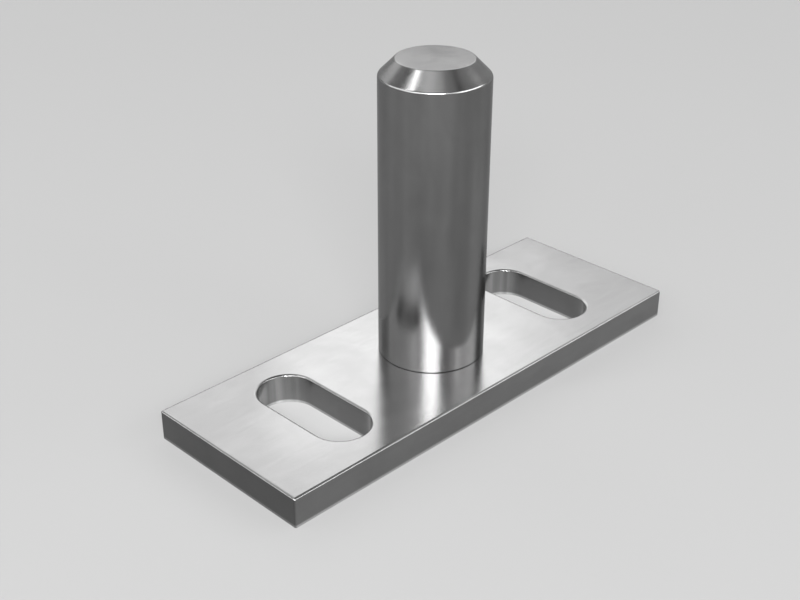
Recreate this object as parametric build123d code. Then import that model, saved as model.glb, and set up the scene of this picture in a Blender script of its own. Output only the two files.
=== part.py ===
from build123d import *
import os

# Support pin: a round pin that stands at the middle of a slotted base plate, in millimetres.
# The origin is on the pin's axis at the plate's underside, with +X along the plate and +Z up.

# Base plate, a length of flat bar with its edges broken
PLATE_LENGTH = 100.0
PLATE_WIDTH = 36.0
PLATE_THICKNESS = 6.0
PLATE_EDGE_ROUND = 0.4

# Fixing slots, one on each side of the pin, each running across the plate
SLOT_SPACING = 60.0
SLOT_LENGTH = 25.0
SLOT_WIDTH = 11.0
SLOT_UPPER_ROUND = 0.4
SLOT_LOWER_ROUND = 0.3

# Pin, turned from round bar, with a 45 degree chamfer at its tip
PIN_DIAMETER = 20.0
PIN_HEIGHT = 57.0
TIP_CHAMFER = 3.0
TIP_FACE_ROUND = 0.3
TIP_SIDE_ROUND = 0.8
FOOT_CHAMFER = 0.2

# Spigot under the pin's shoulder, pressed through the plate and spread into a countersink
SPIGOT_DIAMETER = 14.0
SINK_DEPTH = 2.0
RIVET_RECESS = 0.3

PIN_RADIUS = PIN_DIAMETER / 2
SPIGOT_RADIUS = SPIGOT_DIAMETER / 2
SINK_RADIUS = SPIGOT_RADIUS + SINK_DEPTH
RIVET_RADIUS = SINK_RADIUS - RIVET_RECESS
TIP_RADIUS = PIN_RADIUS - TIP_CHAMFER
PIN_TOP = PLATE_THICKNESS + PIN_HEIGHT


def slot_outlines():
    """The two slots seen from above, each long across the plate."""
    with BuildSketch(Plane.XY) as outlines:
        with GridLocations(SLOT_SPACING, 0, 2, 1):
            SlotOverall(SLOT_LENGTH, SLOT_WIDTH, rotation=90)
    return outlines.sketch


def spigot_hole():
    """The space for the spigot: a plain bore that opens into a countersink at the underside."""
    with BuildSketch(Plane.XZ) as section:
        Polygon(
            (0, 0),
            (SINK_RADIUS, 0),
            (SPIGOT_RADIUS, SINK_DEPTH),
            (SPIGOT_RADIUS, PLATE_THICKNESS),
            (0, PLATE_THICKNESS),
            align=None,
        )
    return revolve(section.sketch, Axis.Z)


def make_base_plate():
    """Flat bar with its edges broken, the slots with their rims broken, and the spigot's hole."""
    with BuildPart() as plate:
        Box(
            PLATE_LENGTH,
            PLATE_WIDTH,
            PLATE_THICKNESS,
            align=(Align.CENTER, Align.CENTER, Align.MIN),
        )
        fillet(plate.edges(), PLATE_EDGE_ROUND)
        extrude(slot_outlines(), PLATE_THICKNESS, mode=Mode.SUBTRACT)
        underside, *_, top = plate.faces().filter_by(Axis.Z).sort_by(Axis.Z)
        fillet(top.inner_wires().edges(), SLOT_UPPER_ROUND)
        fillet(underside.inner_wires().edges(), SLOT_LOWER_ROUND)
        add(spigot_hole(), mode=Mode.SUBTRACT)
    return plate.part


def pin_profile():
    """Half of the pin's section, from its axis out, with the corners that show rounded."""
    tip_corner = (TIP_RADIUS, PIN_TOP)
    side_corner = (PIN_RADIUS, PIN_TOP - TIP_CHAMFER)
    rounded_corners = ((tip_corner, TIP_FACE_ROUND), (side_corner, TIP_SIDE_ROUND))
    with BuildSketch(Plane.XZ) as profile:
        Polygon(
            (0, RIVET_RECESS),
            (RIVET_RADIUS, RIVET_RECESS),
            (SPIGOT_RADIUS, SINK_DEPTH),
            (SPIGOT_RADIUS, PLATE_THICKNESS),
            (PIN_RADIUS - FOOT_CHAMFER, PLATE_THICKNESS),
            (PIN_RADIUS, PLATE_THICKNESS + FOOT_CHAMFER),
            side_corner,
            tip_corner,
            (0, PIN_TOP),
            align=None,
        )
        for corner, radius in rounded_corners:
            vertex = profile.vertices().sort_by_distance(corner)[0]
            fillet(vertex, radius)
    return profile.sketch


def make_pin():
    """The turned pin with its spigot, riveted over in the plate's countersink."""
    return revolve(pin_profile(), Axis.Z)


os.makedirs("parts", exist_ok=True)
export_step(make_base_plate(), "parts/base_plate.step")
export_step(make_pin(), "parts/pin.step")
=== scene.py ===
import math

import bpy
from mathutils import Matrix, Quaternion, Vector
from mathutils.geometry import tessellate_polygon


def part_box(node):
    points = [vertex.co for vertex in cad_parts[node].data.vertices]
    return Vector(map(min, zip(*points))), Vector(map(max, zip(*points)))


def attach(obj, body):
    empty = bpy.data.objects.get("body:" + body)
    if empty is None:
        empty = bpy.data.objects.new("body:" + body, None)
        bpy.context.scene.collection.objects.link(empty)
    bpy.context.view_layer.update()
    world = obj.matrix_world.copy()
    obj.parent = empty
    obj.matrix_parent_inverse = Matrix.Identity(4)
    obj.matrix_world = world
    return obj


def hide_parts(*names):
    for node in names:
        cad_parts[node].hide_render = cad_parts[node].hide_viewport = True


# Looks of the support pin: ground and lightly polished steel on a pale floor. Lengths are in metres.
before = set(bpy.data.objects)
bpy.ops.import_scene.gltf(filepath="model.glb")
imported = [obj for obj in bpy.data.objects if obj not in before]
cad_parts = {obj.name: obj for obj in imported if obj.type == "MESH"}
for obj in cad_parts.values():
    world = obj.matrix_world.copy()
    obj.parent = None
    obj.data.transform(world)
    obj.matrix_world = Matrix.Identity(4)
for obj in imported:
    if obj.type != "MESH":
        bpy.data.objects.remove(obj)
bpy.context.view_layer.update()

# Outer sizes of the pieces, from the frame. Its origin is on the pin's axis at the plate's underside.
PLATE_HALF_LENGTH, PLATE_HALF_WIDTH, PLATE_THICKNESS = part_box("base_plate")[1]
PIN_RADIUS, _, PIN_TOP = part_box("pin")[1]

# Camera, at the photograph's viewing angle
CAMERA_TARGET = (-0.0082342, 0.0, 0.0190008)
CAMERA_AZIMUTH = -45.1091
CAMERA_ELEVATION = 28.6358
CAMERA_ROLL = 0.1862
CAMERA_DISTANCE = 0.2357209
CAMERA_LENS = 58.0822
CAMERA_NEAREST = 0.01
SENSOR_WIDTH = 36.0
HALF_PIXEL = 0.5 / 800

# Base plate
SLOT_SPACING = 0.060
SLOT_LENGTH = 0.025
SLOT_WIDTH = 0.011
PLATE_CORNER_ROUND = 0.0004
SPIGOT_RADIUS = 0.007
SINK_DEPTH = 0.002

# Rims of the plate and its slots: rolled off by polishing, then a small round, and one more round below
ROLL_RADIUS = 0.00065
ROLL_ANGLE = 38.0
UPPER_ROUND = 0.00025
LOWER_ROUND = 0.0003

# Pin
TIP_CHAMFER = 0.003
TIP_FACE_ROUND = 0.0003
TIP_SIDE_ROUND = 0.0008
FOOT_ROUND = 0.00015
RIVET_RECESS = 0.0003

# Smoothness of the modelled pieces
PIN_SIDES = 256
SLOT_END_STEPS = 40
CORNER_STEPS = 8
ROUND_STEPS = 6
SMALLEST_CORNER = 0.00002
SMALLEST_STEP = 1e-7

# Floor and backdrop. A fade is from where to where the tone changes: out from the middle, up the sky, or
# in from the edge of the plate.
FLOOR_SIZE = 12.0
FLOOR_COLOUR = 0.2
FLOOR_ROUGHNESS = 0.9
FLOOR_GLOW = 0.32
FLOOR_FADE = (0.22, 0.6)
# Painted light under the plate, lifting its shadow on the floor that shows through the slots
PAINTED_LIGHT_UNDER_PLATE = 0.46
UNDER_PLATE_FADE = 0.005
WORLD_LIGHT = 0.1
BACKDROP_LEVEL = 0.62
BACKDROP_FADE = (0.17, 0.3)

# Lamps, each with an azimuth from the camera's, an elevation, a width, a height and a level
LAMP_CENTRE = (0.0, 0.0, 0.02)
LAMP_DISTANCE = 0.8
LAMPS = {
    "key": (1.5, 30, 0.35, 0.135, 39.0),
    "key_left": (-16, 30, 0.12, 0.13, 13.5),
    "front_high": (0, 43, 0.5, 0.15, 1.5),
    "front_wide": (0, 30, 2.4, 0.25, 1.8),
    "front_left": (-29, 30, 0.36, 0.25, 1.6),
    "left_fill": (-66, 30, 1.05, 0.3, 2.8),
    "right_fill": (52, 30, 0.3, 0.3, 2.5),
    "left_rear": (-110, 25, 0.3, 0.15, 1.8),
    "side_right": (83, 31, 0.74, 0.23, 5.4),
    "rear_core": (180, 31, 0.22, 0.12, 3.2),
    "rear_wide": (180, 31, 1.2, 0.3, 1.5),
    "rear_high": (180, 44, 0.8, 0.15, 1.0),
    "rear_left": (-160, 33, 0.3, 0.25, 0.2),
    "back_left": (-138, 33, 0.4, 0.3, 1.1),
    "back_high_left": (-135, 55, 0.5, 0.3, 1.0),
    "back_right": (130, 30, 0.5, 0.3, 0.4),
    "top_strip": (-75, 59, 0.045, 0.42, 14.0),
    "top_soft": (-28, 68, 0.25, 0.3, 0.4),
    "top_centre": (-10, 74, 0.4, 0.25, 0.6),
    "top_wide": (0, 72, 0.85, 0.25, 0.35),
    "right_top": (98, 49, 0.3, 0.3, 0.3),
    "back_high_right": (132, 51, 0.3, 0.3, 0.6),
}

# Steel of the plate: its grey, and the factors of painted highlight on its edges and of painted shade and
# light on its walls
PLATE_GREY = 0.31
PLATE_ROUGHNESS = (0.19, 0.25)
# Painted highlights drawn on the plate's upright corners and lower rims
CORNER_PAINTED_HIGHLIGHT = 1.35
RIM_PAINTED_HIGHLIGHT = 2.5
# Painted shade on the plate's long sides and ends, and painted shade or light on the slots' walls by the
# way they face
SIDE_PAINTED_SHADE = 0.66
END_PAINTED_SHADE = 0.33
SLOT_WALL_PAINTED_TONE = 0.95
SLOT_PAINTED_SHADE_FACING_LOW_X = 0.55
SLOT_PAINTED_LIGHT_FACING_HIGH_X = 2.0
MILLED_TONE = (0.75, 1.3)

# Where those tones set in: distances in from an outer face, heights, and distances along a slot
OUTER_FACE_ZONE = (0.0003, 0.0001)
LOWER_RIM_ZONE = (0.0008, 0.0005)
MILLED_ZONE = (-0.0005, 0.0015)
SLOT_MARGIN = 0.001

# Textures of the plate, with how much of the tone or roughness each one changes and how deep it is
PLATE_CLOUDS = {"scale": 75.0, "detail": 5.0, "distortion": 0.8}
PLATE_WISPS = {"scale": 420.0, "detail": 6.0, "distortion": 0.6, "stretch": (0.35, 1.0, 1.0)}
PLATE_GRINDING = {"scale": 7000.0, "detail": 2.0, "stretch": (0.012, 1.0, 1.0)}
PLATE_MILLING = {"scale": 620.0, "detail": 3.0, "stretch": (1.0, 1.0, 0.04)}
PLATE_DULLING = {"scale": 48.0, "detail": 4.0, "distortion": 0.5}
PLATE_WAVE = {"scale": 110.0, "detail": 1.0}
PLATE_CLOUD_SHARE = 0.06
WISP_SHARE = 0.035
WISP_ROUGHNESS_SHARE = 0.03
GRINDING_SHARE = 0.02
PLATE_WAVE_DEPTH = 5e-6
GRINDING_DEPTH = 4e-7
WISP_DEPTH = 3e-7

# Steel of the pin, with painted shade on its side in bands along it and a painted highlight on its tip, and
# its textures
PIN_GREY = 0.27
PIN_ROUGHNESS = (0.19, 0.25)
PIN_ANISOTROPY = 0.35
PIN_EDGE_TINT = 0.6
PIN_SIDE_PAINTED_SHADE = (0.56, 0.84)
TIP_PAINTED_HIGHLIGHT = 1.3
PIN_CLOUDS = {"scale": 210.0, "detail": 5.0, "distortion": 0.9, "stretch": (1.0, 1.0, 0.5)}
PIN_BANDS = {"scale": 170.0, "detail": 2.0, "stretch": (1.0, 1.0, 0.06)}
PIN_TURNING = {"scale": 5200.0, "detail": 2.0}
PIN_WAVE = {"scale": 130.0, "detail": 1.0, "stretch": (1.0, 1.0, 0.3)}
PIN_CLOUD_SHARE = 0.06
BAND_ROUGHNESS_SHARE = 0.05
TURNING_SHARE = 0.02
PIN_WAVE_DEPTH = 4e-6
TURNING_DEPTH = 4e-7

# The usual swing of a noise
NOISE_SWING = (0.3, 0.7)

# Kinds of face, told by one part of the direction faced: where each starts to count and where it fully does
UPRIGHT_FACE = (0.4, 0.2)
LEVEL_FACE = (0.9, 0.98)
UNDERSIDE = (-0.98, -0.8)
SQUARE_FACE = (0.8, 0.99)


class Shell:
    """Rings of points joined by strips and caps, with a normal for each corner of each face."""

    def __init__(self):
        self.points = []
        self.faces = []
        self.normals = []

    def ring(self, outline, height):
        first = len(self.points)
        self.points.extend((x, y, height) for x, y in outline)
        return range(first, len(self.points))

    def strip(self, upper, lower, upper_normals, lower_normals):
        """Joins two rings of the same count, seen from outside the material with `upper` on top."""
        count = len(upper)
        for i in range(count):
            j = (i + 1) % count
            self.faces.append((upper[i], lower[i], lower[j], upper[j]))
            self.normals += [upper_normals[i], lower_normals[i], lower_normals[j], upper_normals[j]]

    def cap(self, rings, up):
        """Fills the flat region between an outer ring and any rings inside it."""
        order = [index for ring in rings for index in ring]
        outlines = [[Vector(self.points[index]) for index in ring] for ring in rings]
        for triangle in tessellate_polygon(outlines):
            a, b, c = (order[k] for k in triangle)
            along_ab = Vector(self.points[b]) - Vector(self.points[a])
            along_ac = Vector(self.points[c]) - Vector(self.points[a])
            turns_up = along_ab.cross(along_ac).z > 0
            self.faces.append((a, b, c) if turns_up == up else (a, c, b))
            self.normals += [(0.0, 0.0, 1.0 if up else -1.0)] * 3

    def make(self, name):
        mesh = bpy.data.meshes.new(name)
        mesh.from_pydata(self.points, [], self.faces)
        mesh.shade_smooth()
        mesh.normals_split_custom_set(self.normals)
        return place_object(name, mesh)


def place_object(name, data):
    """Puts a new object with this data in the scene."""
    made = bpy.data.objects.new(name, data)
    bpy.context.collection.objects.link(made)
    return made


def rounded_outline(centre, half_x, half_y, radius, steps, inward=False):
    """A rounded rectangle as points and unit normals: anticlockwise facing out, or clockwise facing in."""
    points, normals = [], []
    for corner in range(4):
        sign_x = 1 if corner in (0, 3) else -1
        sign_y = 1 if corner in (0, 1) else -1
        for step in range(steps + 1):
            angle = math.radians(90 * (corner + step / steps))
            x, y = math.cos(angle), math.sin(angle)
            point = (centre[0] + sign_x * (half_x - radius) + radius * x,
                     centre[1] + sign_y * (half_y - radius) + radius * y)
            if not points or math.dist(point, points[-1]) > SMALLEST_STEP:
                points.append(point)
                normals.append((x, y))
    if math.dist(points[0], points[-1]) < SMALLEST_STEP:
        points.pop()
        normals.pop()
    if inward:
        points.reverse()
        normals = [(-x, -y) for x, y in reversed(normals)]
    return points, normals


def tilted(normals, slope):
    """Unit normals of a wall at a slope: 0 degrees faces up, 90 faces out and 180 faces down."""
    out, up = math.sin(math.radians(slope)), math.cos(math.radians(slope))
    return [(x * out, y * out, up) for x, y in normals]


def arc(radius, first, last, steps):
    """Steps round a convex edge from one slope to another, as (run out, drop, slope) from its start."""
    start = math.radians(first)
    for step in range(steps + 1):
        slope = first + (last - first) * step / steps
        angle = math.radians(slope)
        run = radius * (math.sin(angle) - math.sin(start))
        drop = radius * (math.cos(start) - math.cos(angle))
        yield run, drop, slope


def wall_profile():
    """Down a wall of the plate, as (inset, height, slope)."""
    roll = list(arc(ROLL_RADIUS, 0, ROLL_ANGLE, 2 * ROUND_STEPS))
    rounded = list(arc(UPPER_ROUND, ROLL_ANGLE, 90, ROUND_STEPS))
    inset = roll[-1][0] + rounded[-1][0]
    profile = [(inset - run, PLATE_THICKNESS - drop, slope) for run, drop, slope in roll]
    inset, height = profile[-1][:2]
    profile += [(inset - run, height - drop, slope) for run, drop, slope in rounded[1:]]
    profile += [(-run, LOWER_ROUND - drop, slope)
                for run, drop, slope in arc(LOWER_ROUND, 90, 180, ROUND_STEPS)]
    return profile


def add_wall(shell, centre, half_x, half_y, radius, steps, grow):
    """One wall of the plate, from top to underside. grow is 1 for a slot and -1 for the plate's outside."""
    rings = []
    for inset, height, slope in wall_profile():
        corner = max(radius + grow * inset, SMALLEST_CORNER)
        outline, normals = rounded_outline(centre, half_x + grow * inset, half_y + grow * inset,
                                           corner, steps, inward=grow > 0)
        rings.append((shell.ring(outline, height), tilted(normals, slope)))
    for (upper, upper_normals), (lower, lower_normals) in zip(rings, rings[1:]):
        shell.strip(upper, lower, upper_normals, lower_normals)
    return rings[0][0], rings[-1][0]


def add_spigot_hole(shell):
    """The bore for the pin's spigot, which opens into a countersink at the underside."""
    rings = []
    # Its points are turned half a step, so that none is in line with the corners of the slots' ends
    angles = [-2 * math.pi * (step + 0.5) / PIN_SIDES for step in range(PIN_SIDES)]
    round_about = [(math.cos(angle), math.sin(angle)) for angle in angles]
    normals = [(-x, -y) for x, y in round_about]
    sections = (
        (SPIGOT_RADIUS, PLATE_THICKNESS),
        (SPIGOT_RADIUS, SINK_DEPTH),
        (SPIGOT_RADIUS + SINK_DEPTH, 0.0),
    )
    for radius, height in sections:
        rings.append(shell.ring([(radius * x, radius * y) for x, y in round_about], height))
    for upper, lower, slope in zip(rings, rings[1:], (90, 135)):
        shell.strip(upper, lower, tilted(normals, slope), tilted(normals, slope))
    return rings[0], rings[-1]


def make_plate():
    """The slotted plate, with every edge of it and of its slots broken."""
    shell = Shell()
    walls = [add_wall(shell, (0, 0), PLATE_HALF_LENGTH, PLATE_HALF_WIDTH, PLATE_CORNER_ROUND,
                      CORNER_STEPS, grow=-1)]
    half_x, half_y = SLOT_WIDTH / 2, SLOT_LENGTH / 2
    for x in (-SLOT_SPACING / 2, SLOT_SPACING / 2):
        walls.append(add_wall(shell, (x, 0), half_x, half_y, half_x, SLOT_END_STEPS, grow=1))
    walls.append(add_spigot_hole(shell))
    shell.cap([upper for upper, lower in walls], up=True)
    shell.cap([lower for upper, lower in walls], up=False)
    return shell.make("slotted_plate")


def pin_profile():
    """Down the pin from its tip, as (radius, height, slope), with two entries where an edge is sharp."""
    # A round where two faces meet at 45 degrees reaches this many times its radius along each of them
    reach = math.tan(math.radians(45 / 2))
    face_radius = PIN_RADIUS - TIP_CHAMFER - TIP_FACE_ROUND * reach
    profile = [(face_radius + run, PIN_TOP - drop, slope)
               for run, drop, slope in arc(TIP_FACE_ROUND, 0, 45, ROUND_STEPS)]
    start = TIP_SIDE_ROUND * reach * math.sqrt(0.5)
    profile += [(PIN_RADIUS - start + run, PIN_TOP - TIP_CHAMFER + start - drop, slope)
                for run, drop, slope in arc(TIP_SIDE_ROUND, 45, 90, ROUND_STEPS)]
    profile += [(PIN_RADIUS + run, PLATE_THICKNESS + FOOT_ROUND - drop, slope)
                for run, drop, slope in arc(FOOT_ROUND, 90, 180, ROUND_STEPS)]
    profile += [
        (SPIGOT_RADIUS, PLATE_THICKNESS, 180),
        (SPIGOT_RADIUS, PLATE_THICKNESS, 90),
        (SPIGOT_RADIUS, SINK_DEPTH, 90),
        (SPIGOT_RADIUS, SINK_DEPTH, 45),
        (SPIGOT_RADIUS + SINK_DEPTH - RIVET_RECESS, RIVET_RECESS, 45),
    ]
    return profile


def make_pin():
    """The turned pin, with its spigot riveted over in the plate's countersink."""
    shell = Shell()
    rings = []
    for radius, height, slope in pin_profile():
        outline, normals = rounded_outline((0, 0), radius, radius, radius, PIN_SIDES // 4)
        if rings and (radius, height) == rings[-1][0]:
            ring = rings[-1][1]
        else:
            ring = shell.ring(outline, height)
        rings.append(((radius, height), ring, tilted(normals, slope)))
    for (_, upper, upper_normals), (_, lower, lower_normals) in zip(rings, rings[1:]):
        if upper != lower:
            shell.strip(upper, lower, upper_normals, lower_normals)
    shell.cap([rings[0][1]], up=True)
    shell.cap([rings[-1][1]], up=False)
    return shell.make("turned_pin")


def node(tree, kind, inputs, **settings):
    """Adds a shader node, whose inputs are values or other nodes' outputs, and gives its first output."""
    made = tree.nodes.new("ShaderNode" + kind)
    for name, value in settings.items():
        setattr(made, name, value)
    for name, value in inputs.items():
        if isinstance(value, bpy.types.NodeSocket):
            tree.links.new(value, made.inputs[name])
        else:
            made.inputs[name].default_value = value
    return made.outputs[0]


def object_place(tree):
    return tree.nodes.new("ShaderNodeTexCoord").outputs["Object"]


def length(tree, vector):
    return node(tree, "VectorMath", {0: vector}, operation="LENGTH").node.outputs["Value"]


def parts_of(tree, vector):
    """The X, Y and Z parts of a vector."""
    return node(tree, "SeparateXYZ", {"Vector": vector}).node.outputs


def facing(tree):
    """The X, Y and Z parts of the direction that the surface faces."""
    return parts_of(tree, tree.nodes.new("ShaderNodeNewGeometry").outputs["Normal"])


def absolute(tree, value):
    return node(tree, "Math", {0: value}, operation="ABSOLUTE")


def largest(tree, first, second):
    return node(tree, "Math", {0: first, 1: second}, operation="MAXIMUM")


def product(tree, *factors):
    total = factors[0]
    for factor in factors[1:]:
        total = node(tree, "Math", {0: total, 1: factor}, operation="MULTIPLY")
    return total


def mix(tree, factor, low, high):
    """The one value where the factor is 0 and the other where it is 1."""
    return node(tree, "Mix", {"Factor": factor, "A": low, "B": high})


def fade(tree, value, none, full):
    """0 up to one value and 1 from another on, with an even rise between them."""
    return node(tree, "MapRange", {"Value": value, "From Min": none, "From Max": full})


def smooth_fade(tree, value, none, full):
    """0 up to one value and 1 from another on, with a soft start and end to the rise."""
    limits = {"From Min": none, "From Max": full}
    return node(tree, "MapRange", {"Value": value, **limits}, interpolation_type="SMOOTHSTEP")


def noise(tree, place, scale, detail, distortion=0.0, stretch=None):
    """A cloudy pattern. A stretch below 1 draws it out along that axis."""
    if stretch:
        place = node(tree, "Mapping", {"Vector": place, "Scale": stretch})
    shape = {"Scale": scale, "Detail": detail, "Distortion": distortion}
    return node(tree, "TexNoise", {"Vector": place, **shape})


def between(tree, value, low, high):
    """Maps the usual swing of a noise to the range from low to high."""
    limits = {"From Min": NOISE_SWING[0], "From Max": NOISE_SWING[1], "To Min": low, "To Max": high}
    return node(tree, "MapRange", {"Value": value, **limits})


def varied(tree, value, middle, share):
    """Maps the usual swing of a noise to a share more or less than a middle value."""
    return between(tree, value, middle * (1 - share), middle * (1 + share))


def bump(tree, layers):
    """Stacks bumps, each a height texture and the depth in metres that it spans."""
    normal = None
    for height, depth in layers:
        inputs = {"Height": height, "Distance": depth, "Strength": 1.0}
        if normal:
            inputs["Normal"] = normal
        normal = node(tree, "Bump", inputs)
    return normal


def upright(tree):
    """1 on upright walls and 0 on level faces."""
    return fade(tree, absolute(tree, facing(tree)["Z"]), *UPRIGHT_FACE)


def at_outer_face(tree, out, face):
    """1 at the plate's outer faces and 0 inside it, from how far out the surface and they are."""
    return fade(tree, out, face - OUTER_FACE_ZONE[0], face - OUTER_FACE_ZONE[1])


def slot_ends(tree, out_x, out_y):
    """1 on the rounded end walls of the slots, from the distances out along the plate and across it."""
    straight = (SLOT_LENGTH - SLOT_WIDTH) / 2
    far_wall = (SLOT_SPACING + SLOT_WIDTH) / 2
    limits = (
        upright(tree),
        fade(tree, out_x, far_wall + SLOT_MARGIN, far_wall),
        fade(tree, out_y, straight + MILLED_ZONE[0], straight + MILLED_ZONE[1]),
        fade(tree, out_y, SLOT_LENGTH / 2 + SLOT_MARGIN, SLOT_LENGTH / 2),
    )
    return product(tree, *limits)


def painted_edge_highlights(tree, height, end_x, end_y):
    """Painted highlights: the plate's upright corners and lower rims are drawn lighter, for light that they
    would reflect.
    """
    above_underside = fade(tree, facing(tree)["Z"], *UNDERSIDE)
    lower_rim_highlight = product(tree, above_underside, fade(tree, height, *LOWER_RIM_ZONE))
    corner = mix(tree, product(tree, end_x, end_y), 1.0, CORNER_PAINTED_HIGHLIGHT)
    return mix(tree, lower_rim_highlight, corner, RIM_PAINTED_HIGHLIGHT)


def painted_wall_shading(tree, end_x, end_y):
    """Painted shade and light on the walls: the plate's long sides and ends are drawn darker, and the
    slots' walls lighter or darker by the way they face.
    """
    none, full = SQUARE_FACE
    to_x = facing(tree)["X"]
    to_low_x, to_high_x = fade(tree, to_x, -none, -full), fade(tree, to_x, none, full)
    slot = mix(tree, to_low_x, SLOT_WALL_PAINTED_TONE, SLOT_PAINTED_SHADE_FACING_LOW_X)
    slot = mix(tree, to_high_x, slot, SLOT_PAINTED_LIGHT_FACING_HIGH_X)
    outer = mix(tree, end_x, SIDE_PAINTED_SHADE, END_PAINTED_SHADE)
    walls = mix(tree, largest(tree, end_x, end_y), slot, outer)
    return mix(tree, upright(tree), 1.0, walls)


def blank_metal(name):
    """A metal to be given its colour, roughness and bump, with its nodes and its shader."""
    material = bpy.data.materials.new(name)
    material.use_nodes = True
    shader = material.node_tree.nodes["Principled BSDF"]
    shader.inputs["Metallic"].default_value = 1.0
    return material, material.node_tree, shader


def plate_material():
    """Flat bar, ground along its length and polished by hand, with milled slot walls."""
    material, tree, shader = blank_metal("ground_steel")
    place = object_place(tree)
    clouds = noise(tree, place, **PLATE_CLOUDS)
    wisps = noise(tree, place, **PLATE_WISPS)
    grinding = noise(tree, place, **PLATE_GRINDING)
    milling = noise(tree, place, **PLATE_MILLING)
    parts = parts_of(tree, place)
    out_x, out_y = absolute(tree, parts["X"]), absolute(tree, parts["Y"])
    end_x = at_outer_face(tree, out_x, PLATE_HALF_LENGTH)
    end_y = at_outer_face(tree, out_y, PLATE_HALF_WIDTH)
    factors = (
        varied(tree, clouds, PLATE_GREY, PLATE_CLOUD_SHARE),
        varied(tree, wisps, 1.0, WISP_SHARE),
        varied(tree, grinding, 1.0, GRINDING_SHARE),
        mix(tree, slot_ends(tree, out_x, out_y), 1.0, between(tree, milling, *MILLED_TONE)),
        # painted highlights on the upright corners and lower rims
        painted_edge_highlights(tree, parts["Z"], end_x, end_y),
        # painted shade and light on the walls
        painted_wall_shading(tree, end_x, end_y),
    )
    tree.links.new(product(tree, *factors), shader.inputs["Base Color"])
    dulling = between(tree, noise(tree, place, **PLATE_DULLING), *PLATE_ROUGHNESS)
    roughness = product(tree, dulling, varied(tree, wisps, 1.0, WISP_ROUGHNESS_SHARE))
    tree.links.new(roughness, shader.inputs["Roughness"])
    wave = noise(tree, place, **PLATE_WAVE)
    relief = bump(tree, ((wave, PLATE_WAVE_DEPTH), (grinding, GRINDING_DEPTH), (wisps, WISP_DEPTH)))
    tree.links.new(relief, shader.inputs["Normal"])
    return material


def pin_material():
    """Bar turned in a lathe and polished along its axis."""
    material, tree, shader = blank_metal("turned_steel")
    place = object_place(tree)
    across = node(tree, "VectorMath", {0: place, 1: (1.0, 1.0, 0.0)}, operation="MULTIPLY")
    lathe = node(tree, "CombineXYZ", {"X": length(tree, across), "Z": parts_of(tree, place)["Z"]})
    turning = noise(tree, lathe, **PIN_TURNING)
    bands = noise(tree, place, **PIN_BANDS)
    clouds = noise(tree, place, **PIN_CLOUDS)
    # Painted highlight on the tip's level face, and painted shade on the upright side in bands
    tip = mix(tree, fade(tree, facing(tree)["Z"], *LEVEL_FACE), 1.0, TIP_PAINTED_HIGHLIGHT)
    factors = (
        varied(tree, clouds, PIN_GREY, PIN_CLOUD_SHARE),
        varied(tree, turning, 1.0, TURNING_SHARE),
        mix(tree, upright(tree), tip, between(tree, bands, *PIN_SIDE_PAINTED_SHADE)),
    )
    tree.links.new(product(tree, *factors), shader.inputs["Base Color"])
    dulling = between(tree, clouds, *PIN_ROUGHNESS)
    roughness = product(tree, dulling, varied(tree, bands, 1.0, BAND_ROUGHNESS_SHARE))
    tree.links.new(roughness, shader.inputs["Roughness"])
    shader.inputs["Specular Tint"].default_value = (PIN_EDGE_TINT, PIN_EDGE_TINT, PIN_EDGE_TINT, 1.0)
    shader.inputs["Anisotropic"].default_value = PIN_ANISOTROPY
    round_axis = node(tree, "Tangent", {}, direction_type="RADIAL", axis="Z")
    tree.links.new(round_axis, shader.inputs["Tangent"])
    wave = noise(tree, place, **PIN_WAVE)
    relief = bump(tree, ((wave, PIN_WAVE_DEPTH), (turning, TURNING_DEPTH)))
    tree.links.new(relief, shader.inputs["Normal"])
    return material


def shown(tree):
    """1 for what the camera and mirrors see, and 0 for the light that falls on things."""
    rays = tree.nodes.new("ShaderNodeLightPath").outputs
    seen = largest(tree, rays["Is Camera Ray"], rays["Is Glossy Ray"])
    return largest(tree, seen, rays["Is Transmission Ray"])


def floor_glow(tree, place, far):
    """How bright the paper is drawn: a little more under the plate, as painted light that lifts the plate's
    shadow, and as the backdrop far away.
    """
    parts = parts_of(tree, place)
    under = product(
        tree,
        fade(tree, absolute(tree, parts["X"]), PLATE_HALF_LENGTH, PLATE_HALF_LENGTH - UNDER_PLATE_FADE),
        fade(tree, absolute(tree, parts["Y"]), PLATE_HALF_WIDTH, PLATE_HALF_WIDTH - UNDER_PLATE_FADE),
    )
    return mix(tree, far, mix(tree, under, FLOOR_GLOW, PAINTED_LIGHT_UNDER_PLATE), BACKDROP_LEVEL)


def make_floor():
    """A wide sheet of pale paper, which takes on the tone of the backdrop far away."""
    mesh = bpy.data.meshes.new("floor")
    half = FLOOR_SIZE / 2
    corners = [(-half, -half, 0), (half, -half, 0), (half, half, 0), (-half, half, 0)]
    mesh.from_pydata(corners, [], [(0, 1, 2, 3)])
    floor = place_object("floor", mesh)
    material = bpy.data.materials.new("floor_paper")
    material.use_nodes = True
    tree = material.node_tree
    shader = tree.nodes["Principled BSDF"]
    place = object_place(tree)
    far = smooth_fade(tree, length(tree, place), *FLOOR_FADE)
    tree.links.new(mix(tree, far, FLOOR_COLOUR, 0.0), shader.inputs["Base Color"])
    glow = product(tree, shown(tree), floor_glow(tree, place, far))
    tree.links.new(glow, shader.inputs["Emission Strength"])
    shader.inputs["Emission Color"].default_value = (1.0, 1.0, 1.0, 1.0)
    shader.inputs["Roughness"].default_value = FLOOR_ROUGHNESS
    shader.inputs["Specular IOR Level"].default_value = 0.0
    mesh.materials.append(material)


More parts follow.
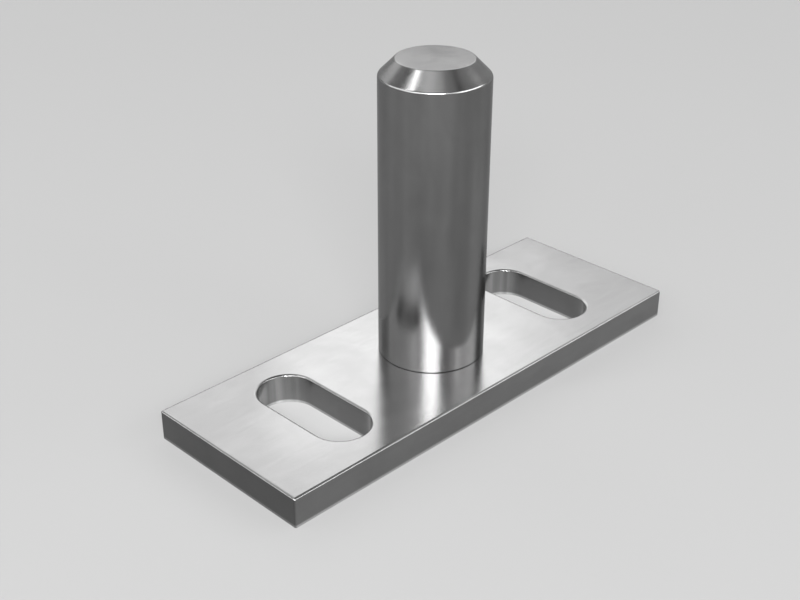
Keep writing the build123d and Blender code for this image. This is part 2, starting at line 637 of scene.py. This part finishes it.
def make_world():
    """A faint light from all round, and a pale backdrop that stands round the floor."""
    world = bpy.data.worlds.new("studio")
    bpy.context.scene.world = world
    world.use_nodes = True
    tree = world.node_tree
    height = parts_of(tree, tree.nodes.new("ShaderNodeTexCoord").outputs["Generated"])["Z"]
    above = smooth_fade(tree, height, *BACKDROP_FADE)
    backdrop = mix(tree, above, BACKDROP_LEVEL, WORLD_LIGHT)
    level = mix(tree, shown(tree), WORLD_LIGHT, backdrop)
    tree.links.new(level, tree.nodes["Background"].inputs["Color"])


def direction(azimuth, elevation):
    """Unit vector from the object to a place round it; azimuth 0 is on the -Y side, 90 on the +X side."""
    a, e = math.radians(azimuth), math.radians(elevation)
    return Vector((math.sin(a) * math.cos(e), -math.cos(a) * math.cos(e), math.sin(e)))


def aim(obj, place, target):
    """Puts an object at a place, with its -Z axis towards the target and its top up."""
    obj.location = place
    obj.rotation_mode = "QUATERNION"
    obj.rotation_quaternion = (target - place).to_track_quat("-Z", "Y")


def make_lamp(name, azimuth, elevation, width, height, level):
    """A rectangular lamp whose face is `level` times as bright as a white wall in full light."""
    data = bpy.data.lights.new(name, "AREA")
    data.shape = "RECTANGLE"
    data.size = width
    data.size_y = height
    data.energy = level * math.pi * width * height
    centre = Vector(LAMP_CENTRE)
    place = centre + direction(CAMERA_AZIMUTH + azimuth, elevation) * LAMP_DISTANCE
    aim(place_object(name, data), place, centre)


def make_camera():
    data = bpy.data.cameras.new("camera")
    data.sensor_width = SENSOR_WIDTH
    data.lens = CAMERA_LENS
    data.clip_start = CAMERA_NEAREST
    data.shift_x = -HALF_PIXEL
    data.shift_y = HALF_PIXEL
    camera = place_object("camera", data)
    target = Vector(CAMERA_TARGET)
    aim(camera, target + direction(CAMERA_AZIMUTH, CAMERA_ELEVATION) * CAMERA_DISTANCE, target)
    roll = Quaternion((0, 0, 1), math.radians(CAMERA_ROLL))
    camera.rotation_quaternion = camera.rotation_quaternion @ roll
    bpy.context.scene.camera = camera


dressed = (
    (make_plate(), "base_plate", plate_material(), "plate_steel"),
    (make_pin(), "pin", pin_material(), "pin_steel"),
)
for piece, node_name, material, slot in dressed:
    piece.data.materials.append(material)
    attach(piece, "root")
    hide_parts(node_name)
make_floor()
make_world()
for lamp_name, lamp_spec in LAMPS.items():
    make_lamp(lamp_name, *lamp_spec)
make_camera()
bpy.context.scene.view_settings.view_transform = "Standard"
